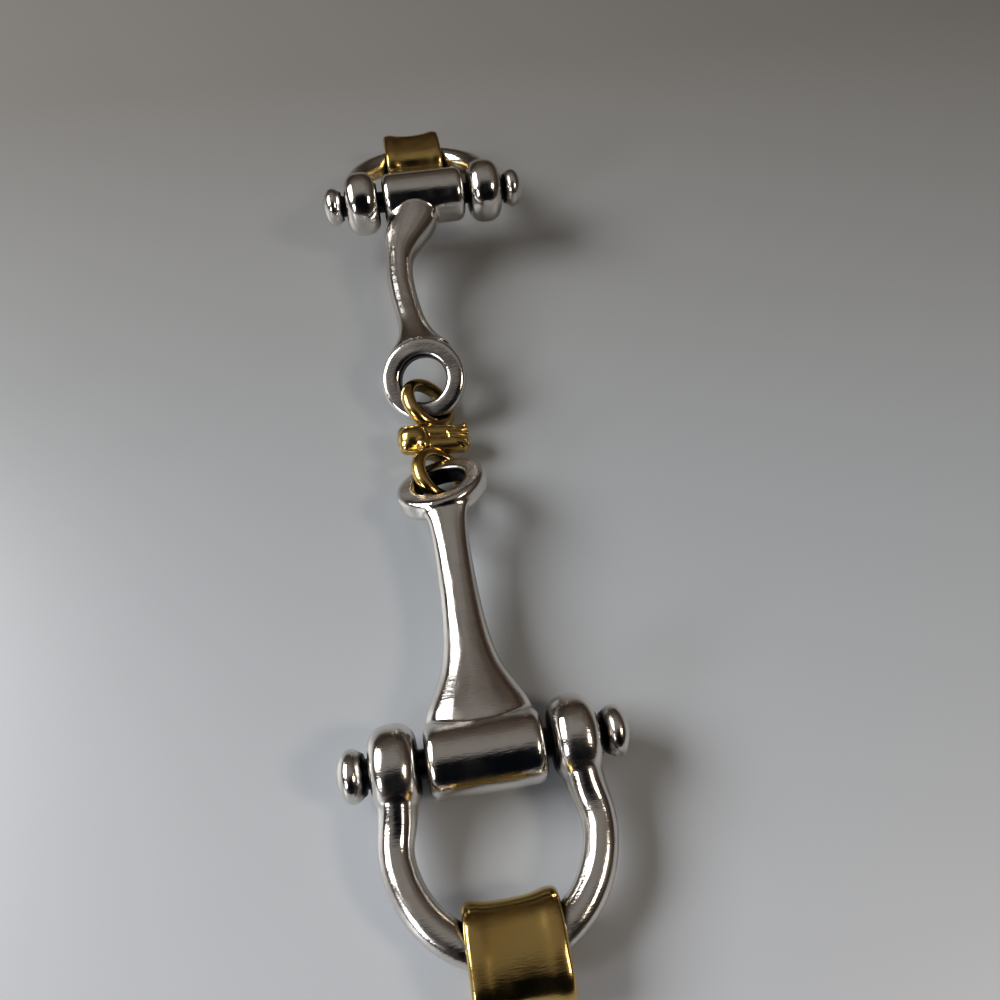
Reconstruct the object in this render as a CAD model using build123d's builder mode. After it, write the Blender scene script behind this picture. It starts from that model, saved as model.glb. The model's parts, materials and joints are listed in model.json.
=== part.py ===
from math import cos, radians, sin
import os

from build123d import *

# Snaffle-bit chain link, in millimetres. The chain runs along Y, the pins lie
# along X, and Z is up from the table that the link rests on.
# side is -1 for the left half (towards -Y) and +1 for the right half.

CHAIN_X = -0.90  # the line that both eyes and the centre link lie on
LINK_Y = 0.166  # sets the two ends of the link evenly about the origin
PIN_Y = 17.80  # pin axis to the middle of the link
PIN_Z = {-1: 1.95, 1: 3.80}  # the right half is propped up on the edge of its shackle
BARREL_SHIFT = {-1: 0.0, 1: 1.80}  # how far each barrel sits to the side of its neck

BARREL_LENGTH = 5.20
BARREL_RADIUS = 1.675
BORE_RADIUS = 0.70
FLAT_PIN_Z = 1.95  # pin height with the bosses lying on the table
NECK_REACH = 11.0  # where the neck's own lift or drop towards the pin has run out
# distance from the pin axis, half width, half height, height of the centre when flat,
# and how far the centre has moved over from the eye's line to the barrel's middle
NECK = [
    (0.60, 2.45, 1.20, 1.95, 0.75),
    (2.10, 2.42, 1.22, 1.92, 0.65),
    (3.20, 1.85, 1.12, 1.88, 0.36),
    (4.40, 1.32, 1.00, 1.87, 0.12),
    (6.30, 1.03, 0.90, 1.92, 0.00),
    (8.50, 0.94, 0.80, 2.15, 0.00),
    (10.40, 0.90, 0.66, 2.55, 0.00),
]
FLARE = {-1: 1.0, 1: 0.45}  # how much of the flare at the barrel each neck has
FLARE_REACH = 5.0
NECK_HALF = {-1: 1.40, 1: 0.80}  # the most half width each neck has past the flare
NECK_BOW = {-1: 0.0, 1: 0.55}  # how far the middle of each neck bows towards -X
THROAT_HALF = {-1: 0.98, 1: 1.28}  # half the neck's width where it meets the eye
EYE_Y = 3.80  # eye centre to the middle of the link
EYE_Z = 2.10
EYE_OUTER = 2.42
EYE_HOLE = 1.35
EYE_THICK = 1.10
EYE_PITCH = 30.0  # how far the tip of each eye points down
EYE_ROLL = 12.0

PIN_RADIUS = 0.65
PIN_END = 5.85
BOSS_X = 3.98
BOSS_WIDTH = 1.95
BOSS_RADIUS = 1.95
BALL_X = 5.8775
BALL_WIDTH = 1.245
BALL_RADIUS = 1.17
SHACKLE_TILT = {-1: 2.5, 1: 17.0}
SHACKLE_WIRE = 0.77
SHACKLE_HALF = 4.33
SHACKLE_TURN = 3.20  # pin axis to where the arms start to curve in
SHACKLE_REACH = 7.75  # pin axis to the middle of the bottom wire

KEEPER_TILT = 2.5
KEEPER_WIDTH = 3.95
KEEPER_START = 5.70
KEEPER_END = 9.80
KEEPER_INNER = 1.95
KEEPER_STRAP = 0.40
KEEPER_RIM = 0.10
KEEPER_RIM_WIDTH = 0.55

LOOP_Y = 2.50
LOOP_Z = 1.38
LOOP_RADIUS = 1.46
LOOP_WIRE = 0.34
LOOP_ROLL = 40.0
COLLAR_WIDTH = 4.00
COLLAR_RIDGE = 0.56
COLLAR_RIDGE_Y = 0.40
COLLAR_ROLL = 10.0

SIDES = {"left": -1, "right": 1}


def pin_centre(side):
    return Vector(CHAIN_X + BARREL_SHIFT[side], LINK_Y + side * PIN_Y, PIN_Z[side])


def eye_plane(side):
    """The eye's own plane: local X runs along the neck, local Z is the eye's axis."""
    along = Vector(0, side * cos(radians(EYE_PITCH)), sin(radians(EYE_PITCH)))
    across = Vector(cos(radians(EYE_ROLL)), 0, sin(radians(EYE_ROLL)))
    normal = across.cross(along) * side
    return Plane(origin=(CHAIN_X, LINK_Y + side * EYE_Y, EYE_Z), x_dir=along, z_dir=normal)


def tilted_plane(side, origin, degrees):
    """Local X lies along the pin, local Y runs outwards and down by that angle."""
    tilt = radians(degrees)
    normal = Vector(0, side * sin(tilt), cos(tilt))
    return Plane(origin=origin, x_dir=(side, 0, 0), z_dir=normal)


def shackle_plane(side):
    return tilted_plane(side, pin_centre(side), SHACKLE_TILT[side])


def keeper_plane(side):
    """Its origin is the middle of the shackle's bottom wire, which the keeper swings on."""
    bow = shackle_plane(side)
    return tilted_plane(side, bow.origin + bow.y_dir * SHACKLE_REACH, KEEPER_TILT)


def loop_plane(side):
    roll = radians(LOOP_ROLL)
    return Plane(
        origin=(CHAIN_X, LINK_Y + side * LOOP_Y, LOOP_Z),
        x_dir=(cos(roll), 0, -sin(roll)),
        z_dir=(sin(roll), 0, cos(roll)),
    )


def make_cannon(side):
    """Barrel, tapering neck and ring eye, cast in one."""
    centre = pin_centre(side)
    eye = eye_plane(side)
    with BuildPart() as cannon:
        with Locations(centre):
            Cylinder(BARREL_RADIUS, BARREL_LENGTH, rotation=(0, 90, 0))
        fillet(cannon.edges().filter_by(GeomType.CIRCLE), 0.55)
        for distance, half_width, half_height, z, share in NECK:
            x = CHAIN_X + share * BARREL_SHIFT[side]
            x -= NECK_BOW[side] * sin(radians(180) * distance / NECK_REACH)
            half_width *= 1 - (1 - FLARE[side]) * max(0, 1 - distance / FLARE_REACH)
            z += (PIN_Z[side] - FLAT_PIN_Z) * (1 - distance / NECK_REACH)
            room = NECK_HALF[side]
            if distance < 4:
                room = BARREL_LENGTH / 2 - 0.08 - abs(centre.X - x)
            y = centre.Y - side * distance
            station = Plane(origin=(x, y, z), x_dir=(1, 0, 0), z_dir=(0, -side, 0))
            with BuildSketch(station):
                Ellipse(min(half_width, room), half_height)
        throat = eye.origin + eye.x_dir * (EYE_OUTER - 0.45)
        with BuildSketch(Plane(origin=throat, x_dir=(1, 0, 0), z_dir=-eye.x_dir)):
            Ellipse(THROAT_HALF[side], 0.52)
        loft()
        section = Plane(origin=eye.origin, x_dir=eye.x_dir, z_dir=eye.y_dir)
        with BuildSketch(section):
            with Locations(((EYE_OUTER + EYE_HOLE) / 2, 0)):
                RectangleRounded(EYE_OUTER - EYE_HOLE, EYE_THICK, 0.34)
        revolve(axis=Axis(eye.origin, eye.z_dir))
        with Locations(eye):
            Cylinder(EYE_HOLE + 0.02, 3, mode=Mode.SUBTRACT)
        with Locations(centre):
            Cylinder(BORE_RADIUS, BARREL_LENGTH + 1, rotation=(0, 90, 0), mode=Mode.SUBTRACT)
    return cannon.part


def make_shackle(side):
    """U of round wire that swells into a boss at each end."""
    place = shackle_plane(side)
    depth = SHACKLE_REACH - SHACKLE_TURN
    bend = [
        (SHACKLE_HALF * cos(radians(a)), SHACKLE_TURN + depth * sin(radians(a)))
        for a in range(0, 181, 30)
    ]
    disc = Cylinder(BOSS_RADIUS, BOSS_WIDTH, rotation=(0, 90, 0))
    boss = fillet(disc.edges().filter_by(GeomType.CIRCLE), 0.70)
    with BuildPart() as shackle:
        with BuildLine(place) as path:
            Spline([(BOSS_X, 0), *bend, (-BOSS_X, 0)])
        with BuildSketch(Plane(origin=path.line @ 0, z_dir=path.line % 0)):
            Circle(SHACKLE_WIRE)
        sweep(path=path.line)
        with Locations(place):
            with Locations((BOSS_X, 0, 0), (-BOSS_X, 0, 0)):
                add(boss)
        for hand in (-1, 1):
            stations = ((0.7, BOSS_X, 0.92, 1.62), (1.9, BOSS_X + 0.13, 0.86, 1.10),
                        (3.3, SHACKLE_HALF, 0.775, 0.78))
            for distance, x, half_width, half_height in stations:
                station = Plane(origin=(hand * x, distance, 0), x_dir=(1, 0, 0), z_dir=(0, 1, 0))
                with BuildSketch(place * station):
                    Ellipse(half_width, half_height)
            loft()
        with Locations(pin_centre(side)):
            Cylinder(PIN_RADIUS, 12, rotation=(0, 90, 0), mode=Mode.SUBTRACT)
    return shackle.part


def make_pin(side):
    with BuildPart() as pin:
        with Locations(pin_centre(side)):
            Cylinder(PIN_RADIUS, 2 * PIN_END, rotation=(0, 90, 0))
    return pin.part


def make_ball(side, hand):
    """Flattened ball with a blind socket for the pin's end."""
    with BuildPart() as ball:
        with Locations(pin_centre(side) + Vector(hand * BALL_X, 0, 0)):
            Cylinder(BALL_RADIUS, BALL_WIDTH, rotation=(0, 90, 0))
        fillet(ball.edges().filter_by(GeomType.CIRCLE), 0.56)
        with Locations(pin_centre(side)):
            Cylinder(PIN_RADIUS, 2 * PIN_END, rotation=(0, 90, 0), mode=Mode.SUBTRACT)
    return ball.part


def make_keeper(side):
    """Strap bent into a long loop around the bottom wire, with a rim along each edge."""
    place = keeper_plane(side)
    middle = (KEEPER_START + KEEPER_END) / 2 - SHACKLE_REACH
    length = KEEPER_END - KEEPER_START
    height = KEEPER_INNER + 2 * KEEPER_STRAP
    with BuildPart() as keeper:
        across = Plane(place * Plane(origin=(0, middle, 0), x_dir=(0, 1, 0), z_dir=(1, 0, 0)))
        with BuildSketch(across):
            SlotOverall(length, height)
        extrude(amount=KEEPER_WIDTH / 2, both=True)
        for hand in (-1, 1):
            inset = hand * (KEEPER_WIDTH - KEEPER_RIM_WIDTH) / 2
            with BuildSketch(across.offset(inset)):
                SlotOverall(length + 2 * KEEPER_RIM, height + 2 * KEEPER_RIM)
            extrude(amount=KEEPER_RIM_WIDTH / 2, both=True)
        with BuildSketch(across):
            SlotOverall(length - 2 * KEEPER_STRAP, KEEPER_INNER)
        extrude(amount=KEEPER_WIDTH, both=True, mode=Mode.SUBTRACT)
    return keeper.part


def make_loop(side):
    place = loop_plane(side)
    with BuildPart() as loop:
        with BuildSketch(Plane(origin=place.origin, x_dir=place.x_dir, z_dir=(0, 1, 0))):
            with Locations((LOOP_RADIUS, 0)):
                Circle(LOOP_WIRE)
        revolve(axis=Axis(place.origin, place.z_dir))
    return loop.part


def make_collar(loops):
    """Two ridges side by side that grip the inner ends of both loops."""
    roll = radians(COLLAR_ROLL)
    across = Vector(cos(roll), 0, -sin(roll))
    middle = Plane(origin=(CHAIN_X, LINK_Y, LOOP_Z), x_dir=(0, 1, 0), z_dir=across)
    with BuildPart() as collar:
        with BuildSketch(middle):
            with Locations((-COLLAR_RIDGE_Y, 0), (COLLAR_RIDGE_Y, 0)):
                Circle(COLLAR_RIDGE)
        extrude(amount=COLLAR_WIDTH / 2, both=True)
        ends = collar.faces().sort_by(Axis.X)
        fillet(ends[0].edges() + ends[-1].edges(), 0.15)
        for loop in loops:
            add(loop, mode=Mode.SUBTRACT)
    return collar.part


def save(node, solid):
    solid.label = node
    export_step(solid, f"parts/{node}.step")


os.makedirs("parts", exist_ok=True)
loops = {name: make_loop(side) for name, side in SIDES.items()}
for name, side in SIDES.items():
    save(f"{name}_cannon", make_cannon(side))
    save(f"{name}_shackle", make_shackle(side))
    save(f"{name}_hinge_pin", make_pin(side))
    save(f"{name}_pin_ball_front", make_ball(side, -1))
    save(f"{name}_pin_ball_back", make_ball(side, 1))
    save(f"{name}_keeper", make_keeper(side))
    save(f"centre_link_{name}_loop", loops[name])
save("centre_link_collar", make_collar(loops.values()))
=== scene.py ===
import json
import math

import bpy
from mathutils import Matrix, Vector
from mathutils.bvhtree import BVHTree


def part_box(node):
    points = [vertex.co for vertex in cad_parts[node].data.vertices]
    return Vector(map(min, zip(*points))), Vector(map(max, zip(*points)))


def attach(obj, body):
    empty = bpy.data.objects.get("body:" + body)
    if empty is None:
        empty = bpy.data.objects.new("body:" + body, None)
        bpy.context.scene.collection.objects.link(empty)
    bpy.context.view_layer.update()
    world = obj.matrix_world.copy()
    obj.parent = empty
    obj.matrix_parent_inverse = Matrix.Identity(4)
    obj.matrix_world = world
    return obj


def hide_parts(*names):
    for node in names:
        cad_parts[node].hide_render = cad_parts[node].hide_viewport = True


# A snaffle-bit chain link in polished silver and yellow gold, lying on a glossy table.
# Pieces are modelled in millimetres and brought down to metres when they are finished.

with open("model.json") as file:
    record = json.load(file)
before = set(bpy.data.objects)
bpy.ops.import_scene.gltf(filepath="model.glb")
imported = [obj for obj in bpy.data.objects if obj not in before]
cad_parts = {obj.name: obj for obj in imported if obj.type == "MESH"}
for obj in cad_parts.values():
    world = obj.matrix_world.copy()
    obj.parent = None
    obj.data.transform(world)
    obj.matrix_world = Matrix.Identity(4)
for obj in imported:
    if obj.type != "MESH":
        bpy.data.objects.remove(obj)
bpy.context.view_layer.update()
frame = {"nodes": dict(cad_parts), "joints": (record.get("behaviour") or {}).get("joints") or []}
mm = 0.001


def nodeMiddle(node):
    low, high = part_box(node)
    return [(a + b) / 2 / mm for a, b in zip(low, high)]


# Small helpers

def deselectAll():
    if bpy.context.object and bpy.context.object.mode != "OBJECT":
        bpy.ops.object.mode_set(mode="OBJECT")
    bpy.ops.object.select_all(action="DESELECT")


def activate(piece):
    deselectAll()
    piece.select_set(True)
    bpy.context.view_layer.objects.active = piece


def applyModifiers(piece):
    activate(piece)
    for modifier in list(piece.modifiers):
        bpy.ops.object.modifier_apply(modifier=modifier.name)


def addModifier(piece, kind, **settings):
    modifier = piece.modifiers.new(kind.title(), kind)
    for name, value in settings.items():
        setattr(modifier, name, value)
    return modifier


def pickVerts(piece, test):
    # selects the vertices that pass the test; edit mode is left on
    bpy.ops.object.mode_set(mode="OBJECT")
    for face in piece.data.polygons:
        face.select = False
    for edge in piece.data.edges:
        edge.select = False
    for vert in piece.data.vertices:
        vert.select = test(vert.co)
    bpy.ops.object.mode_set(mode="EDIT")
    bpy.ops.mesh.select_mode(type="VERT")


def pickFaces(piece, test):
    # the same for faces
    bpy.ops.object.mode_set(mode="EDIT")
    bpy.ops.mesh.select_mode(type="FACE")
    bpy.ops.mesh.select_all(action="DESELECT")
    bpy.ops.object.mode_set(mode="OBJECT")
    for face in piece.data.polygons:
        face.select = test(face)
    bpy.ops.object.mode_set(mode="EDIT")


def turnSelection(angle, axis, centre):
    # a right-handed turn; without a window the operator counts the other way
    bpy.ops.transform.rotate(
        value=-angle, orient_axis=axis, orient_type="GLOBAL", center_override=centre)


def joinPieces(pieces):
    deselectAll()
    for piece in pieces:
        piece.select_set(True)
    bpy.context.view_layer.objects.active = pieces[0]
    if len(pieces) > 1:
        bpy.ops.object.join()
    return bpy.context.object


def fusePieces(pieces, voxel, smoothSteps):
    # casts overlapping lumps into one skin, as investment casting does
    cast = joinPieces(pieces)
    addModifier(cast, "REMESH", mode="VOXEL", voxel_size=voxel, adaptivity=0.0)
    addModifier(cast, "SMOOTH", factor=0.5, iterations=smoothSteps)
    applyModifiers(cast)
    return cast


def cutAway(piece, tool):
    addModifier(piece, "BOOLEAN", operation="DIFFERENCE", object=tool, solver="EXACT")
    applyModifiers(piece)
    bpy.data.objects.remove(tool)


def placePiece(piece, origin, turn):
    # moves a piece from its own bench position to its place in the link
    piece.data.transform(Matrix.Translation(Vector(origin)) @ turn.to_4x4())


def finishPiece(piece, name, material, body, replaced):
    activate(piece)
    bpy.ops.object.transform_apply(location=True, rotation=True, scale=True)
    bpy.ops.object.mode_set(mode="EDIT")
    bpy.ops.mesh.select_all(action="SELECT")
    bpy.ops.mesh.remove_doubles(threshold=0.0005)
    bpy.ops.mesh.normals_make_consistent(inside=False)
    bpy.ops.object.mode_set(mode="OBJECT")
    piece.data.transform(Matrix.Scale(mm, 4))
    bpy.ops.object.shade_smooth()
    piece.name = name
    piece.data.name = name
    piece.data.materials.clear()
    piece.data.materials.append(material)
    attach(piece, body)
    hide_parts(*replaced)
    return piece


# Materials

def hexColour(code):
    parts = [int(code[i:i + 2], 16) / 255 for i in (1, 3, 5)]
    return [c / 12.92 if c <= 0.04045 else ((c + 0.055) / 1.055) ** 2.4 for c in parts] + [1.0]


def addNode(tree, kind, links=None, **settings):
    node = tree.nodes.new(kind)
    for name, value in settings.items():
        if name.startswith("in_"):
            node.inputs[int(name[3:])].default_value = value
        else:
            setattr(node, name, value)
    for socket, source in (links or {}).items():
        tree.links.new(source, node.inputs[socket])
    return node


def setRamp(ramp, stops):
    band = ramp.color_ramp
    while len(band.elements) < len(stops):
        band.elements.new(0.5)
    for element, (place, colour) in zip(band.elements, stops):
        element.position = place
        element.color = hexColour(colour)


def newMaterial(name):
    material = bpy.data.materials.new(name)
    material.use_nodes = True
    tree = material.node_tree
    shader = tree.nodes["Principled BSDF"]
    return material, tree, shader


metalGrain = {
    "cloud": 1.5,  # patches of handling haze, in mm
    "line": 0.36,  # polishing lines, in mm
    "lineStretch": 6.0,
    "lineTurn": (0.3, 0.2, 0.5),
    "lineDepth": 0.01,
    "wave": 1.4,  # unevenness left by the file, in mm
    "waveDepth": 0.06,
    "hazeFrom": 0.35,
    "hazeTo": 0.70,
}


def polishedMetal(name, look):
    # cast and tumbled metal: bright in the open, darkened with painted shade in recesses and between parts
    material, tree, shader = newMaterial(name)
    shader.inputs["Metallic"].default_value = 1.0
    place = addNode(tree, "ShaderNodeTexCoord").outputs["Object"]
    # the recess value baked below is painted shade: how much nearby parts block each point
    recessShade = addNode(tree, "ShaderNodeAttribute", attribute_name="recessShade").outputs["Fac"]
    # soft clouds of handling haze
    cloud = addNode(tree, "ShaderNodeTexNoise", {"Vector": place})
    cloud.inputs["Scale"].default_value = 1 / (metalGrain["cloud"] * mm)
    cloud.inputs["Detail"].default_value = 3.0
    # fine polishing lines, drawn out one way
    stretch = addNode(tree, "ShaderNodeMapping", {"Vector": place})
    stretch.inputs["Rotation"].default_value = metalGrain["lineTurn"]
    stretch.inputs["Scale"].default_value = (1.0, metalGrain["lineStretch"], 1.0)
    lines = addNode(tree, "ShaderNodeTexNoise", {"Vector": stretch.outputs["Vector"]})
    lines.inputs["Scale"].default_value = 1 / (metalGrain["line"] * mm)
    lines.inputs["Detail"].default_value = 4.0
    ragged = addNode(
        tree, "ShaderNodeMath", {0: cloud.outputs["Fac"], 2: recessShade},
        operation="MULTIPLY_ADD", in_1=look["ragged"])
    # painted shade from the recess value, with random haze patches, pulls the colour towards the dark one and
    # dulls the shine
    shadeAndHaze = addNode(tree, "ShaderNodeMapRange", {"Value": ragged.outputs[0]})
    shadeAndHaze.inputs["From Min"].default_value = look["shadeAndHazeFrom"]
    shadeAndHaze.inputs["From Max"].default_value = look["shadeAndHazeTo"]
    tint = addNode(tree, "ShaderNodeMix", {0: cloud.outputs["Fac"]}, data_type="RGBA")
    tint.inputs[6].default_value = hexColour(look["bright"])
    tint.inputs[7].default_value = hexColour(look["shade"])
    colour = addNode(tree, "ShaderNodeMix", {0: shadeAndHaze.outputs[0], 6: tint.outputs[2]}, data_type="RGBA")
    colour.inputs[7].default_value = hexColour(look["dark"])
    tree.links.new(colour.outputs[2], shader.inputs["Base Color"])
    haze = addNode(tree, "ShaderNodeMapRange", {"Value": cloud.outputs["Fac"]})
    haze.inputs["From Min"].default_value = metalGrain["hazeFrom"]
    haze.inputs["From Max"].default_value = metalGrain["hazeTo"]
    haze.inputs["To Min"].default_value = look["smooth"]
    haze.inputs["To Max"].default_value = look["hazy"]
    rough = addNode(tree, "ShaderNodeMix", {0: shadeAndHaze.outputs[0], 2: haze.outputs[0]}, data_type="FLOAT")
    rough.inputs[3].default_value = look["darkRough"]
    tree.links.new(rough.outputs[0], shader.inputs["Roughness"])
    # hand filing leaves the surface a little uneven
    wave = addNode(tree, "ShaderNodeTexNoise", {"Vector": place})
    wave.inputs["Scale"].default_value = 1 / (metalGrain["wave"] * mm)
    wave.inputs["Detail"].default_value = 1.0
    uneven = addNode(tree, "ShaderNodeBump", {"Height": wave.outputs["Fac"]})
    uneven.inputs["Strength"].default_value = look["uneven"]
    uneven.inputs["Distance"].default_value = metalGrain["waveDepth"] * mm
    bump = addNode(
        tree, "ShaderNodeBump", {"Height": lines.outputs["Fac"], "Normal": uneven.outputs["Normal"]})
    bump.inputs["Strength"].default_value = look["scratch"]
    bump.inputs["Distance"].default_value = metalGrain["lineDepth"] * mm
    tree.links.new(bump.outputs["Normal"], shader.inputs["Normal"])
    return material


silverLook = {
    "bright": "#EFECE7",
    "shade": "#CFC8BF",
    # colour of the painted shade in recesses and gaps
    "dark": "#121114",
    "smooth": 0.08,
    "hazy": 0.22,
    "darkRough": 0.42,
    "scratch": 0.80,
    "uneven": 0.80,
    "ragged": 0.25,
    "shadeAndHazeFrom": 0.42,
    "shadeAndHazeTo": 0.70,
}
goldLook = {
    "bright": "#DDC07A",
    "shade": "#B89550",
    # colour of the painted shade in recesses and gaps
    "dark": "#1E1206",
    "smooth": 0.12,
    "hazy": 0.27,
    "darkRough": 0.40,
    "scratch": 0.50,
    "uneven": 0.70,
    "ragged": 0.20,
    "shadeAndHazeFrom": 0.50,
    "shadeAndHazeTo": 0.85,
}
# both metals carry painted shade in their recesses and between parts
silver = polishedMetal("Sterling silver, cast, polished and oxidised in the recesses", silverLook)
gold = polishedMetal("Yellow gold, cast and polished", goldLook)
print("materials made")


# near-black pin colours, standing in for the shade in the narrow gaps
pinGapShadeSettings = {"grain": 0.3, "ramp": [(0.35, "#0E0D10"), (0.75, "#3A373A")], "rough": (0.35, 0.55)}


def pinGapShadeMaterial():
    # painted shade: the pin is coloured near black, so that the gaps where it shows between boss, barrel and
    # ball read as shaded
    material, tree, shader = newMaterial("Sterling silver, blackened")
    shader.inputs["Metallic"].default_value = 1.0
    place = addNode(tree, "ShaderNodeTexCoord").outputs["Object"]
    grain = addNode(tree, "ShaderNodeTexNoise", {"Vector": place})
    grain.inputs["Scale"].default_value = 1 / (pinGapShadeSettings["grain"] * mm)
    ramp = addNode(tree, "ShaderNodeValToRGB", {"Fac": grain.outputs["Fac"]})
    setRamp(ramp, pinGapShadeSettings["ramp"])
    tree.links.new(ramp.outputs["Color"], shader.inputs["Base Color"])
    rough = addNode(tree, "ShaderNodeMapRange", {"Value": grain.outputs["Fac"]})
    rough.inputs["To Min"].default_value, rough.inputs["To Max"].default_value = pinGapShadeSettings["rough"]
    tree.links.new(rough.outputs[0], shader.inputs["Roughness"])
    return material


darkForGapShade = pinGapShadeMaterial()
# the pins show only in the gaps, so their dark colour is painted shade
for name in ("left_hinge_pin", "right_hinge_pin"):
    pin = frame["nodes"][name]
    pin.data.materials.clear()
    pin.data.materials.append(darkForGapShade)

# Shared places, read from the frame

eyePlace = {"out": 3.8, "up": 2.10}  # from the middle of the link to an eye's centre
pinCentre = {"left": nodeMiddle("left_hinge_pin"), "right": nodeMiddle("right_hinge_pin")}
sideSign = {"left": -1, "right": 1}
chainX = pinCentre["left"][0]
linkY = (pinCentre["left"][1] + pinCentre["right"][1]) / 2
jointPlace = {j["name"]: [v / mm for v in j["pos_m"]] for j in frame["joints"] if "pos_m" in j}
wireCentre = {side: jointPlace[side + "_keeper_swing"] for side in sideSign}
eyeCentre = {
    side: [chainX, linkY + sign * eyePlace["out"], eyePlace["up"]] for side, sign in sideSign.items()}

# Cannons: barrel, neck and eye

cannonSizes = {
    "barrelLength": 5.2,
    "barrelRadius": 1.675,
    "barrelEdge": 0.50,
    "barrelGap": 0.08,  # from the flare's side to the barrel's end
    "bore": 0.71,
    "boreLength": 8.0,
    "eyeOuter": 2.42,
    "eyeHole": 1.34,
    "eyeThick": 1.10,
    "eyeEdge": 0.26,
    "eyeDrill": 4.0,
    "eyePitch": 30.0,
    "eyeRoll": 12.0,
    "voxel": 0.075,
    "smoothing": 9,
    "flatPin": 1.95,
    "neckReach": 11.0,
    # distance from the pin, half width, half height, height, share of the barrel's shift
    "neck": [
        (0.40, 2.40, 1.20, 1.95, 0.75),
        (1.60, 2.50, 1.26, 1.93, 0.70),
        (2.20, 2.34, 1.21, 1.91, 0.62),
        (2.90, 1.98, 1.14, 1.89, 0.44),
        (3.60, 1.60, 1.07, 1.87, 0.28),
        (4.60, 1.25, 0.99, 1.87, 0.10),
        (6.30, 1.02, 0.90, 1.92, 0.00),
        (8.50, 0.93, 0.80, 2.15, 0.00),
        (10.40, 0.90, 0.68, 2.55, 0.00),
    ],
    "flare": {"left": 1.0, "right": 0.45},
    "flareReach": 5.0,
    "neckBow": {"left": 0.0, "right": 0.55},
    "neckHalf": {"left": 1.40, "right": 0.82},  # the most half width past the barrel
    "barrelReach": 4,  # up to here the barrel's end is the limit instead
    # distance from the eye's centre, half width, half height, share of the eye's turn, drop
    "throat": [
        (2.75, 0.96, 0.60, 0.3, 0.60),
        (2.20, 1.16, 0.54, 0.8, 0.08),
        (1.75, 1.44, 0.50, 1.0, 0.00),
        (1.25, 1.80, 0.44, 1.0, 0.00),
    ],
    "widen": {"left": 1.0, "right": 1.35},  # how much each throat broadens by the eye
    "throatMost": 1.9,
}


def eyeTurn(side):
    # the eye's own axes: X along the neck, Z through the hole
    sign = sideSign[side]
    pitch = math.radians(cannonSizes["eyePitch"])
    roll = math.radians(cannonSizes["eyeRoll"])
    along = Vector((0, sign * math.cos(pitch), math.sin(pitch)))
    across = Vector((math.cos(roll), 0, math.sin(roll)))
    normal = (across.cross(along) * sign).normalized()
    return Matrix((along, normal.cross(along), normal)).transposed()


def makeNeck(side):
    # one ring is drawn out station by station, from the barrel into the eye
    sizes = cannonSizes
    sign = sideSign[side]
    px, py, pz = pinCentre[side]
    shift = px - chainX
    lift = pz - sizes["flatPin"]
    stations = []
    for distance, halfWidth, halfHeight, z, share in sizes["neck"]:
        room = sizes["neckHalf"][side]
        if distance < sizes["barrelReach"]:
            room = sizes["barrelLength"] / 2 - sizes["barrelGap"] - abs(shift) * (1 - share)
        z += lift * (1 - distance / sizes["neckReach"])
        x = chainX + share * shift
        x -= sizes["neckBow"][side] * math.sin(math.pi * distance / sizes["neckReach"])
        halfWidth *= 1 - (1 - sizes["flare"][side]) * max(0, 1 - distance / sizes["flareReach"])
        centre = Vector((x, py - sign * distance, z))
        stations.append((centre, min(halfWidth, room), halfHeight, 0.0))
    along = eyeTurn(side).col[0]
    for distance, halfWidth, halfHeight, share, drop in sizes["throat"]:
        centre = Vector(eyeCentre[side]) + along * distance - Vector((0, 0, drop))
        halfWidth = min(halfWidth * sizes["widen"][side], sizes["throatMost"])
        stations.append((centre, halfWidth, halfHeight, share))
    bpy.ops.mesh.primitive_circle_add(vertices=40, radius=1.0, fill_type="NGON")
    neck = bpy.context.object
    neck.data.transform(Matrix.Rotation(math.radians(90), 4, "X"))
    first, halfWidth, halfHeight, _ = stations[0]
    neck.data.transform(Matrix.Translation(first) @ Matrix.Diagonal((halfWidth, 1, halfHeight, 1)))
    bpy.ops.object.mode_set(mode="EDIT")
    bpy.ops.mesh.select_all(action="SELECT")
    pitch = sign * math.radians(sizes["eyePitch"])
    roll = -math.radians(sizes["eyeRoll"])
    before = stations[0]
    for station in stations[1:]:
        centre, halfWidth, halfHeight, share = station
        bpy.ops.mesh.extrude_region_move(TRANSFORM_OT_translate={"value": centre - before[0]})
        # the section is squared up for resizing, then rolled and tipped with the eye
        turnSelection(-pitch * before[3], "X", centre)
        turnSelection(-roll * before[3], "Y", centre)
        scale = (halfWidth / before[1], 1, halfHeight / before[2])
        bpy.ops.transform.resize(value=scale, center_override=centre)
        turnSelection(roll * share, "Y", centre)
        turnSelection(pitch * share, "X", centre)
        before = station
    bpy.ops.mesh.select_all(action="SELECT")
    bpy.ops.mesh.normals_make_consistent(inside=False)
    bpy.ops.object.mode_set(mode="OBJECT")
    addModifier(neck, "SUBSURF", levels=2, render_levels=2)
    applyModifiers(neck)
    return neck


def makeBarrel(side):
    sizes = cannonSizes
    bpy.ops.mesh.primitive_cylinder_add(
        vertices=72, radius=sizes["barrelRadius"], depth=sizes["barrelLength"],
        location=pinCentre[side], rotation=(0, math.radians(90), 0))
    barrel = bpy.context.object
    bpy.ops.object.transform_apply(location=True, rotation=True, scale=True)
    addModifier(barrel, "BEVEL", width=sizes["barrelEdge"], segments=5, limit_method="ANGLE")
    applyModifiers(barrel)
    return barrel


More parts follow.
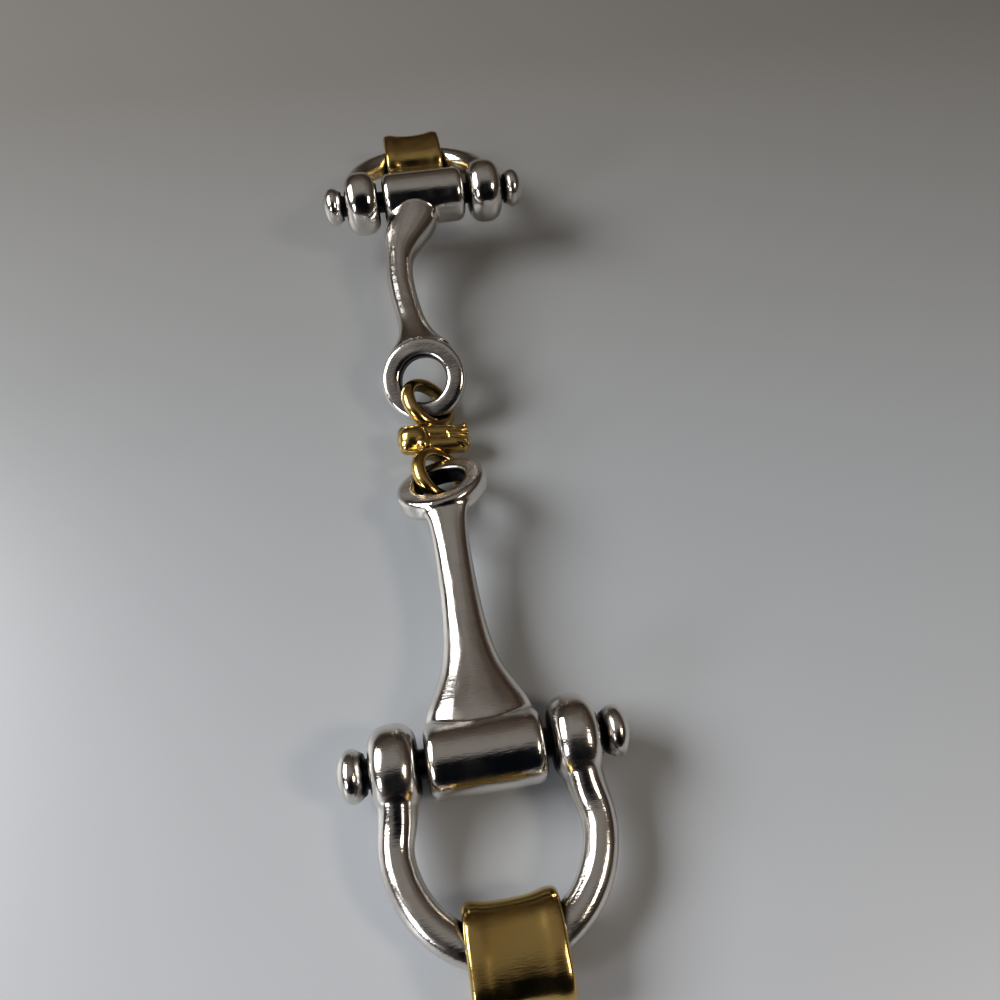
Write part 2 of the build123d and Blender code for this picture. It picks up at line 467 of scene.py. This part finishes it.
def makeEye(side):
    sizes = cannonSizes
    wall = sizes["eyeOuter"] - sizes["eyeHole"]
    bpy.ops.mesh.primitive_cylinder_add(vertices=96, radius=sizes["eyeOuter"], depth=sizes["eyeThick"])
    eye = bpy.context.object
    pickFaces(eye, lambda face: abs(face.normal.z) > 0.9)
    bpy.ops.mesh.inset(thickness=wall, depth=0)
    bpy.ops.mesh.bridge_edge_loops()
    bpy.ops.object.mode_set(mode="OBJECT")
    addModifier(eye, "BEVEL", width=sizes["eyeEdge"], segments=4, limit_method="ANGLE")
    applyModifiers(eye)
    placePiece(eye, eyeCentre[side], eyeTurn(side))
    return eye


def boringTool(radius, length, centre, turn):
    bpy.ops.mesh.primitive_cylinder_add(vertices=72, radius=radius, depth=length)
    tool = bpy.context.object
    placePiece(tool, centre, turn)
    return tool


def makeCannon(side):
    sizes = cannonSizes
    deselectAll()
    lumps = [makeBarrel(side), makeNeck(side), makeEye(side)]
    cannon = fusePieces(lumps, sizes["voxel"], sizes["smoothing"])
    cutAway(cannon, boringTool(sizes["eyeHole"], sizes["eyeDrill"], eyeCentre[side], eyeTurn(side)))
    across = Matrix.Rotation(math.radians(90), 3, "Y")
    cutAway(cannon, boringTool(sizes["bore"], sizes["boreLength"], pinCentre[side], across))
    return finishPiece(cannon, side + "CannonCast", silver, side + "_bit", [side + "_cannon"])


cannons = {side: makeCannon(side) for side in sideSign}
print("cannons cast")

# Shackles: a bow of round wire that swells into two bosses

shackleSizes = {
    "wire": 0.77,
    "half": 4.33,
    "turn": 3.20,
    "reach": 7.75,
    "bossX": 3.98,
    "bossWidth": 2.10,
    "bossRadius": 1.94,
    "bossEdge": 0.86,
    "bore": 0.66,
    "boreLength": 16.0,
    "steps": 18,
    # the arm's swelling by each boss: to the side, distance, width and height over the wire's
    "arm": [
        (0.00, 0.30, 1.22, 2.10),
        (0.00, 1.10, 1.20, 1.85),
        (0.06, 1.80, 1.15, 1.52),
        (0.16, 2.50, 1.08, 1.22),
    ],
    "voxel": 0.08,
    "smoothing": 12,
}


def outwardTurn(side, tilt):
    # X along the pin, Y outwards and down by that angle
    sign = sideSign[side]
    across = Vector((sign, 0, 0))
    normal = Vector((0, sign * math.sin(tilt), math.cos(tilt)))
    return Matrix((across, normal.cross(across), normal)).transposed()


def shackleTurn(side):
    down = pinCentre[side][2] - wireCentre[side][2]
    out = abs(wireCentre[side][1] - pinCentre[side][1])
    return outwardTurn(side, math.atan2(down, out))


def makeBow():
    # a ring of wire is led from one boss round to the other
    sizes = shackleSizes
    depth = sizes["reach"] - sizes["turn"]
    points = [(sizes["bossX"] + x, y) for x, y, wide, tall in sizes["arm"]]
    for i in range(sizes["steps"] + 1):
        angle = math.pi * i / sizes["steps"]
        points.append((sizes["half"] * math.cos(angle), sizes["turn"] + depth * math.sin(angle)))
    points += [(-x, y) for x, y in reversed(points[:len(sizes["arm"])])]
    swell = {i: row[2:] for i, row in enumerate(sizes["arm"])}
    swell.update({len(points) - 1 - i: row[2:] for i, row in enumerate(sizes["arm"])})
    bpy.ops.mesh.primitive_circle_add(vertices=28, radius=sizes["wire"], fill_type="NGON")
    bow = bpy.context.object
    bow.data.transform(Matrix.Rotation(math.radians(90), 4, "X"))
    x, y = points[0]
    before = swell[0]
    bow.data.transform(Matrix.Translation((x, y, 0)) @ Matrix.Diagonal((before[0], 1, before[1], 1)))
    bpy.ops.object.mode_set(mode="EDIT")
    bpy.ops.mesh.select_all(action="SELECT")
    heading = math.pi / 2
    for i in range(1, len(points)):
        last, here = Vector(points[i - 1]).to_3d(), Vector(points[i]).to_3d()
        ahead = Vector(points[min(i + 1, len(points) - 1)]).to_3d() - last
        bpy.ops.mesh.extrude_region_move(TRANSFORM_OT_translate={"value": here - last})
        newHeading = math.atan2(ahead.y, ahead.x)
        swing = (newHeading - heading + math.pi) % (2 * math.pi) - math.pi
        turnSelection(swing, "Z", here)
        now = swell.get(i, (1.0, 1.0))
        bpy.ops.transform.resize(value=(now[0] / before[0], 1, now[1] / before[1]), center_override=here)
        heading, before = newHeading, now
    bpy.ops.mesh.select_all(action="SELECT")
    bpy.ops.mesh.normals_make_consistent(inside=False)
    bpy.ops.object.mode_set(mode="OBJECT")
    addModifier(bow, "SUBSURF", levels=1, render_levels=1)
    applyModifiers(bow)
    return bow


def makeBoss(hand):
    # a short drum with the same rounded bevel on both faces
    sizes = shackleSizes
    bpy.ops.mesh.primitive_cylinder_add(
        vertices=64, radius=sizes["bossRadius"], depth=sizes["bossWidth"],
        location=(hand * sizes["bossX"], 0, 0), rotation=(0, math.radians(90), 0))
    boss = bpy.context.object
    bpy.ops.object.transform_apply(location=True, rotation=True, scale=True)
    addModifier(boss, "BEVEL", width=sizes["bossEdge"], segments=8, limit_method="ANGLE")
    applyModifiers(boss)
    return boss


def makeShackle(side):
    sizes = shackleSizes
    deselectAll()
    shackle = fusePieces([makeBow(), makeBoss(-1), makeBoss(1)], sizes["voxel"], sizes["smoothing"])
    placePiece(shackle, pinCentre[side], shackleTurn(side))
    across = Matrix.Rotation(math.radians(90), 3, "Y")
    cutAway(shackle, boringTool(sizes["bore"], sizes["boreLength"], pinCentre[side], across))
    return finishPiece(shackle, side + "ShackleCast", silver, side + "_bow", [side + "_shackle"])


shackles = {side: makeShackle(side) for side in sideSign}
print("shackles cast")

# Pin balls

ballSizes = {
    "radius": 1.17,
    "width": 1.24,
    # on a ball of radius 1: where the back is cut, where it is laid flat, and its rim's size
    "cut": 0.55,
    "flat": 0.82,
    "rim": 0.93,
}


def makeBall(side, end):
    # a turned button: a domed face, a soft waist and a flat back against the boss
    node = side + "_pin_ball_" + end
    centre = nodeMiddle(node)
    hand = 1 if centre[0] > pinCentre[side][0] else -1
    deselectAll()
    bpy.ops.mesh.primitive_uv_sphere_add(segments=48, ring_count=24, radius=1.0)
    ball = bpy.context.object
    ball.data.transform(Matrix.Rotation(math.radians(90), 4, "Y"))
    radius, flat, rim = ballSizes["radius"], ballSizes["flat"], ballSizes["rim"]
    pickVerts(ball, lambda co: co.x * hand < -ballSizes["cut"])
    bpy.ops.transform.resize(value=(0, 1, 1), center_override=(-hand * flat, 0, 0))
    pickVerts(ball, lambda co: abs(co.x + hand * flat) < 0.001 and math.hypot(co.y, co.z) > 0.5)
    bpy.ops.transform.resize(value=(1, rim, rim), center_override=(0, 0, 0))
    bpy.ops.object.mode_set(mode="OBJECT")
    # it runs from the flat back to the crown at 1, so its middle is off the centre
    stretch = ballSizes["width"] / (1 + flat)
    ball.data.transform(Matrix.Diagonal((stretch, radius, radius, 1)))
    middle = Vector(centre) - Vector((hand * (1 - flat) / 2 * stretch, 0, 0))
    placePiece(ball, middle, Matrix.Identity(3))
    return finishPiece(ball, side + "PinBall" + end.title(), silver, side + "_bow", [node])


balls = [makeBall(side, end) for side in sideSign for end in ("front", "back")]
print("pin balls turned")

# Keepers: a strap bent into a long loop

keeperSizes = {
    "width": 3.95,
    "length": 4.30,
    "tilt": 2.5,
    "inner": 0.975,
    "endRadius": 1.475,
    "crown": 0.94,
    "edge": 0.10,
    # distance from the middle, outer radius: soft rims with a hollow between them
    "profile": [
        (1.975, 1.32), (1.82, 1.43), (1.56, 1.47), (1.28, 1.43), (1.00, 1.35), (0.50, 1.30), (0.00, 1.29)],
}


def makeKeeper(side):
    sizes = keeperSizes
    deselectAll()
    widest = sizes["profile"][0][1]
    bpy.ops.mesh.primitive_cylinder_add(
        vertices=48, radius=widest, depth=sizes["width"], rotation=(0, math.radians(90), 0))
    keeper = bpy.context.object
    bpy.ops.object.transform_apply(location=True, rotation=True, scale=True)
    pickFaces(keeper, lambda face: abs(face.normal.x) > 0.9)
    bpy.ops.mesh.inset(thickness=widest - sizes["inner"], depth=0)
    bpy.ops.mesh.bridge_edge_loops()
    for place, _ in sizes["profile"][1:]:
        for cut in {place, -place}:
            bpy.ops.mesh.select_all(action="SELECT")
            bpy.ops.mesh.bisect(plane_co=(cut, 0, 0), plane_no=(1, 0, 0))
    middle = (sizes["inner"] + widest) / 2
    for place, radius in sizes["profile"][1:]:
        pickVerts(keeper, lambda co: abs(abs(co.x) - place) < 0.01 and math.hypot(co.y, co.z) > middle)
        bpy.ops.transform.resize(value=(1, radius / widest, radius / widest), center_override=(0, 0, 0))
    # the round band is parted along its top and bottom lines and drawn out into a long loop
    straight = sizes["length"] / 2 - sizes["endRadius"]
    pickVerts(keeper, lambda co: co.y > 0.001)
    bpy.ops.transform.translate(value=(0, straight, 0))
    pickVerts(keeper, lambda co: co.y < -0.001)
    bpy.ops.transform.translate(value=(0, -straight, 0))
    # a soft crown is left along the line over the wire
    pickVerts(keeper, lambda co: abs(co.y) > 0.001)
    bpy.ops.transform.resize(value=(1, 1, sizes["crown"]), center_override=(0, 0, 0))
    bpy.ops.object.mode_set(mode="OBJECT")
    addModifier(
        keeper, "BEVEL", width=sizes["edge"], segments=2, limit_method="ANGLE", angle_limit=math.radians(50))
    addModifier(keeper, "SUBSURF", levels=2, render_levels=2)
    applyModifiers(keeper)
    turn = outwardTurn(side, math.radians(sizes["tilt"]))
    placePiece(keeper, wireCentre[side], turn)
    return finishPiece(keeper, side + "KeeperStrap", gold, side + "_strap", [side + "_keeper"])


keepers = {side: makeKeeper(side) for side in sideSign}
print("keepers bent")

# Centre link: two loops and a wrapped collar

linkSizes = {
    "loopRadius": 1.38,
    "loopWire": 0.42,
    "loopHeight": 1.38,
    "loopY": 2.50,
    "loopRoll": 40.0,
    "loopFlat": 0.22,
    # the collar's rods: radius, half length, place of the middle
    "ridge": (0.52, 2.0, (0, 0.40, 0)),
    "lobe": (0.84, 0.90, (-1.14, 0, 0)),
    "bead": (0.34, 0.341, (-0.72, -0.62, 0.42)),
    "rib": (0.13, 0.62, (1.34, 0, 0.52)),
    "ribs": 5,
    "ribStep": 0.25,
    "ribDrop": 0.06,
    "ribSpread": 9,
    "collarRoll": 10.0,
    "collarVoxel": 0.04,
    "collarSmoothing": 3,
}


def makeLoop(side):
    # D-shaped wire, flat inside and domed outside
    sizes = linkSizes
    deselectAll()
    bpy.ops.mesh.primitive_torus_add(
        major_radius=sizes["loopRadius"], minor_radius=sizes["loopWire"],
        major_segments=72, minor_segments=16)
    loop = bpy.context.object
    flat = sizes["loopRadius"] - sizes["loopFlat"]
    for vert in loop.data.vertices:
        reach = math.hypot(vert.co.x, vert.co.y)
        if reach < flat:
            vert.co.x *= flat / reach
            vert.co.y *= flat / reach
    addModifier(loop, "SUBSURF", levels=1, render_levels=1)
    applyModifiers(loop)
    roll = Matrix.Rotation(math.radians(sizes["loopRoll"]), 3, "Y")
    placePiece(loop, (chainX, linkY + sideSign[side] * sizes["loopY"], sizes["loopHeight"]), roll)
    return finishPiece(
        loop, "centreLink" + side.title() + "Loop", gold, "centre_link",
        ["centre_link_" + side + "_loop"])


def capsule(radius, half, place, turn=None):
    # a rod with round ends, lying along X
    bpy.ops.mesh.primitive_uv_sphere_add(segments=32, ring_count=16, radius=radius)
    rod = bpy.context.object
    rod.data.transform(Matrix.Rotation(math.radians(90), 4, "Y"))
    reach = half - radius
    pickVerts(rod, lambda co: co.x > 0.001)
    bpy.ops.transform.translate(value=(reach, 0, 0))
    pickVerts(rod, lambda co: co.x < -0.001)
    bpy.ops.transform.translate(value=(-reach, 0, 0))
    bpy.ops.object.mode_set(mode="OBJECT")
    placePiece(rod, place, turn or Matrix.Identity(3))
    return rod


def makeCollar():
    sizes = linkSizes
    deselectAll()
    ridge, half, place = sizes["ridge"]
    lumps = [capsule(ridge, half, place), capsule(ridge, half, (0, -place[1], 0))]
    # the left end is one plump lobe, with a bead on its near shoulder
    lumps += [capsule(*sizes["lobe"]), capsule(*sizes["bead"])]
    # at the right end the ridges fan out in fine ribs
    radius, half, (x, y, z) = sizes["rib"]
    for i in range(sizes["ribs"]):
        step = i - sizes["ribs"] // 2
        turn = Matrix.Rotation(math.radians(sizes["ribSpread"] * step), 3, "Z")
        place = (x, y + sizes["ribStep"] * step, z - sizes["ribDrop"] * abs(step))
        lumps.append(capsule(radius, half, place, turn))
    collar = fusePieces(lumps, sizes["collarVoxel"], sizes["collarSmoothing"])
    collar.data.transform(Matrix.Rotation(math.radians(sizes["collarRoll"]), 4, "Y"))
    placePiece(collar, (chainX, linkY, sizes["loopHeight"]), Matrix.Identity(3))
    return finishPiece(collar, "centreLinkCollar", gold, "centre_link", ["centre_link_collar"])


loops = {side: makeLoop(side) for side in sideSign}
collar = makeCollar()
print("centre link made")

# Painted shade for recesses and gaps between parts: it is worked out from what stands around each point

recessShadeSettings = {
    "reach": 2.6 * mm,
    "rays": 24,
    "lift": 0.02 * mm,
    "fan": 0.92,  # how far down towards the surface the rays go
    "eyeDepth": 0.8,
    "eyeBand": 0.22,
    "eyeHoleShade": 0.8,
}


def rayFan(count):
    fan = []
    for i in range(count):
        z = 1 - (i + 0.5) / count * recessShadeSettings["fan"]
        angle = i * math.pi * (3 - math.sqrt(5))
        r = math.sqrt(1 - z * z)
        fan.append(Vector((r * math.cos(angle), r * math.sin(angle), z)))
    return fan


def inEye(point):
    # how far a point is down inside one of the two eyes' holes, from 0 to 1
    deepest = 0.0
    for side in sideSign:
        local = eyeTurn(side).transposed() @ (point / mm - Vector(eyeCentre[side]))
        if abs(local.z) < recessShadeSettings["eyeDepth"]:
            past = math.hypot(local.x, local.y) - cannonSizes["eyeHole"]
            deepest = max(deepest, 1 - max(past, 0) / recessShadeSettings["eyeBand"])
    return max(deepest, 0.0)


def bakeRecessShade(pieces, blockers):
    verts, faces = [], []
    for blocker in blockers:
        base = len(verts)
        verts += [v.co.copy() for v in blocker.data.vertices]
        faces += [[base + i for i in face.vertices] for face in blocker.data.polygons]
    tree = BVHTree.FromPolygons(verts, faces)
    fan = rayFan(recessShadeSettings["rays"])
    reach, lift = recessShadeSettings["reach"], recessShadeSettings["lift"]
    for piece in pieces:
        layer = piece.data.attributes.new("recessShade", "FLOAT", "POINT")
        hasEye = piece in cannons.values()
        values = []
        for vert in piece.data.vertices:
            turn = vert.normal.to_track_quat("Z", "Y")
            start = vert.co + vert.normal * lift
            blocked = 0
            for ray in fan:
                if tree.ray_cast(start, turn @ ray, reach)[0] is not None:
                    blocked += 1
            share = blocked / len(fan)
            # the walls inside the eyes' holes get painted shade as well
            if hasEye:
                share = max(share, recessShadeSettings["eyeHoleShade"] * inEye(vert.co))
            values.append(share)
        layer.data.foreach_set("value", values)


madePieces = list(cannons.values()) + list(shackles.values()) + balls
madePieces += list(keepers.values()) + list(loops.values()) + [collar]
pins = [frame["nodes"]["left_hinge_pin"], frame["nodes"]["right_hinge_pin"]]
bakeRecessShade(madePieces, madePieces + pins)
print("recesses marked")

# Table, light and camera

tableSettings = {
    "size": 1.2,
    "place": (0, 0.2, 0),
    "paintedFalloff": (-30, 60),
    # light at the near side to dark at the far side: painted light falloff on the table top
    "ramp": [(0.0, "#B2B6BB"), (0.27, "#9CA0A4"), (0.44, "#8E9091"), (0.78, "#7A7875")],
    "grain": 6,
    "rough": (0.34, 0.42),
}


def makeTable():
    material, tree, shader = newMaterial("Lacquered table top, glossy grey")
    place = addNode(tree, "ShaderNodeTexCoord").outputs["Object"]
    split = addNode(tree, "ShaderNodeSeparateXYZ", {"Vector": place})
    # painted shade: the top's colour darkens away from the window, standing in for the light's falloff
    ramp = addNode(tree, "ShaderNodeValToRGB")
    paintedFalloff = addNode(tree, "ShaderNodeMapRange", {"Value": split.outputs["Y"]})
    near, far = tableSettings["paintedFalloff"]
    paintedFalloff.inputs["From Min"].default_value = near * mm
    paintedFalloff.inputs["From Max"].default_value = far * mm
    tree.links.new(paintedFalloff.outputs[0], ramp.inputs["Fac"])
    setRamp(ramp, tableSettings["ramp"])
    tree.links.new(ramp.outputs["Color"], shader.inputs["Base Color"])
    # orange peel in the lacquer
    peel = addNode(tree, "ShaderNodeTexNoise", {"Vector": place})
    peel.inputs["Scale"].default_value = 1 / (tableSettings["grain"] * mm)
    rough = addNode(tree, "ShaderNodeMapRange", {"Value": peel.outputs["Fac"]})
    rough.inputs["To Min"].default_value, rough.inputs["To Max"].default_value = tableSettings["rough"]
    tree.links.new(rough.outputs[0], shader.inputs["Roughness"])
    deselectAll()
    bpy.ops.mesh.primitive_plane_add(size=tableSettings["size"], location=tableSettings["place"])
    table = bpy.context.object
    bpy.ops.object.transform_apply(location=True)
    table.name = "tableTop"
    table.data.materials.append(material)


makeTable()

lightSettings = {
    # name: place in mm, aimed at, width and height in mm, watts, colour
    "window": ((-170, 45, 130), (0, 0, 0), 150, 110, 0.62, "#FFFFFF"),
    "windowLow": ((-150, -110, 70), (0, -12, 0), 40, 50, 0.10, "#F2F5FF"),
    "lamp": ((105, -70, 120), (0, -10, 0), 34, 34, 0.07, "#FFF0DC"),
}


def makeLights():
    for name, (place, target, width, height, watts, colour) in lightSettings.items():
        light = bpy.data.lights.new(name, "AREA")
        light.shape = "RECTANGLE"
        light.size = width * mm
        light.size_y = height * mm
        light.energy = watts
        light.color = hexColour(colour)[:3]
        lamp = bpy.data.objects.new(name, light)
        bpy.context.scene.collection.objects.link(lamp)
        lamp.location = Vector(place) * mm
        aim = Vector(target) * mm - lamp.location
        lamp.rotation_euler = aim.to_track_quat("-Z", "Y").to_euler()


roomSettings = {
    "walls": [
        (0.0, "#6E5644"), (0.10, "#56463A"), (0.20, "#37322F"),
        (0.44, "#514943"), (0.48, "#75604C"), (0.53, "#5A524B"), (0.75, "#7E7670"), (1.0, "#A29D99")],
    "clutter": 3.4,
    "clutterShare": 0.60,
    "person": "#0B0E13",
    "personSide": (0.05, -0.78, 0.62),
    "personFrom": 0.66,
    "personTo": 0.90,
    "strength": 0.62,
}


def makeRoom():
    # a dim brown room; whoever stands at the near side of the table is a dark shape in the metal
    world = bpy.data.worlds.new("Room")
    bpy.context.scene.world = world
    world.use_nodes = True
    tree = world.node_tree
    place = addNode(tree, "ShaderNodeTexCoord").outputs["Generated"]
    split = addNode(tree, "ShaderNodeSeparateXYZ", {"Vector": place})
    clutter = addNode(tree, "ShaderNodeTexNoise", {"Vector": place})
    clutter.inputs["Scale"].default_value = roomSettings["clutter"]
    clutter.inputs["Detail"].default_value = 3.0
    lift = addNode(
        tree, "ShaderNodeMath", {0: clutter.outputs["Fac"], 2: split.outputs["Z"]},
        operation="MULTIPLY_ADD", in_1=roomSettings["clutterShare"])
    level = addNode(
        tree, "ShaderNodeMath", {0: lift.outputs[0]}, operation="SUBTRACT",
        in_1=roomSettings["clutterShare"] / 2)
    ramp = addNode(tree, "ShaderNodeValToRGB", {"Fac": level.outputs[0]})
    setRamp(ramp, roomSettings["walls"])
    facing = addNode(
        tree, "ShaderNodeVectorMath", {0: place}, operation="DOT_PRODUCT", in_1=roomSettings["personSide"])
    person = addNode(
        tree, "ShaderNodeMapRange", {"Value": facing.outputs["Value"]}, interpolation_type="SMOOTHSTEP")
    person.inputs["From Min"].default_value = roomSettings["personFrom"]
    person.inputs["From Max"].default_value = roomSettings["personTo"]
    shade = addNode(tree, "ShaderNodeMix", {0: person.outputs[0], 6: ramp.outputs["Color"]}, data_type="RGBA")
    shade.inputs[7].default_value = hexColour(roomSettings["person"])
    back = tree.nodes["Background"]
    tree.links.new(shade.outputs[2], back.inputs["Color"])
    back.inputs["Strength"].default_value = roomSettings["strength"]


makeLights()
makeRoom()

cameraSettings = {
    "place": (-1.93, -27.25, 37.93),
    "pitch": 57.63,
    "yaw": 9.93,
    "lens": 29.16,
    "sensor": 36.0,
    "clip": (1, 5000),
}


def makeCamera():
    camera = bpy.data.cameras.new("camera")
    camera.sensor_width = cameraSettings["sensor"]
    camera.lens = cameraSettings["lens"]
    camera.clip_start, camera.clip_end = (edge * mm for edge in cameraSettings["clip"])
    holder = bpy.data.objects.new("camera", camera)
    bpy.context.scene.collection.objects.link(holder)
    holder.location = Vector(cameraSettings["place"]) * mm
    holder.rotation_euler = (
        math.radians(90 - cameraSettings["pitch"]), 0, -math.radians(cameraSettings["yaw"]))
    bpy.context.scene.camera = holder


makeCamera()
bpy.context.scene.view_settings.view_transform = "Standard"
print("table, light and camera set")
